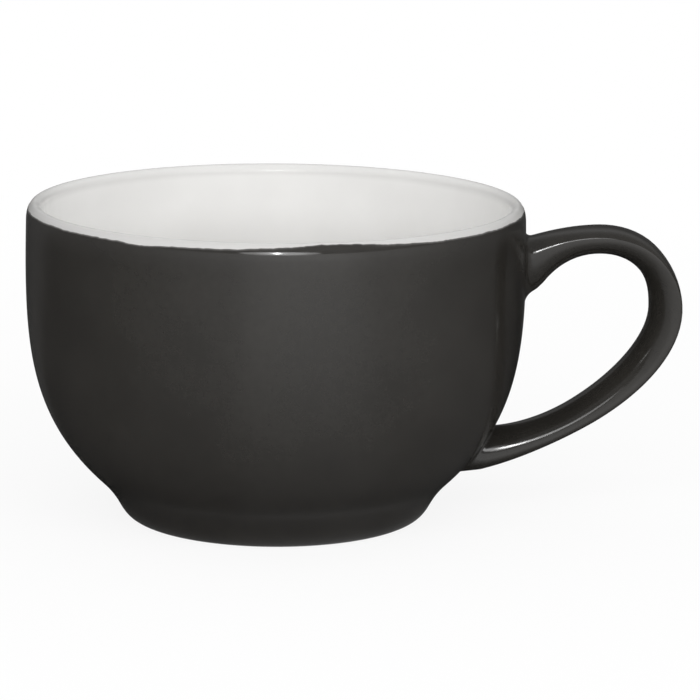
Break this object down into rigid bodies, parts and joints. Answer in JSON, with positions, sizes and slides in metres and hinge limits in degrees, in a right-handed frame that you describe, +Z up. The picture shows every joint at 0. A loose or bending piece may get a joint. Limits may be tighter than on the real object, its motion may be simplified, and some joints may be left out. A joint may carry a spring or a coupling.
{
  "type": "coffee cup",
  "caption": "Round stoneware coffee cup on a low foot ring, with a loop handle, a pale glaze inside and over the lip and a charcoal glaze outside.",
  "frame": {"origin": "on the table, under the middle of the cup's whole length with its handle", "axes": "+X along the cup's length towards the handle, +Z up"},
  "size_m": [0.134, 0.102, 0.065],
  "materials": {
    "stoneware": "bare fired clay",
    "slip": "bare fired clay",
    "pale_glaze": "gloss",
    "charcoal_glaze": "satin gloss"
  },
  "bodies": {
    "root": {"cup_body": "stoneware", "handle": "stoneware", "upper_luting_slip": "slip", "lower_luting_slip": "slip", "liner_glaze": "pale_glaze", "outer_glaze": "charcoal_glaze", "base_glaze": "charcoal_glaze"}
  },
  "joints": []
}
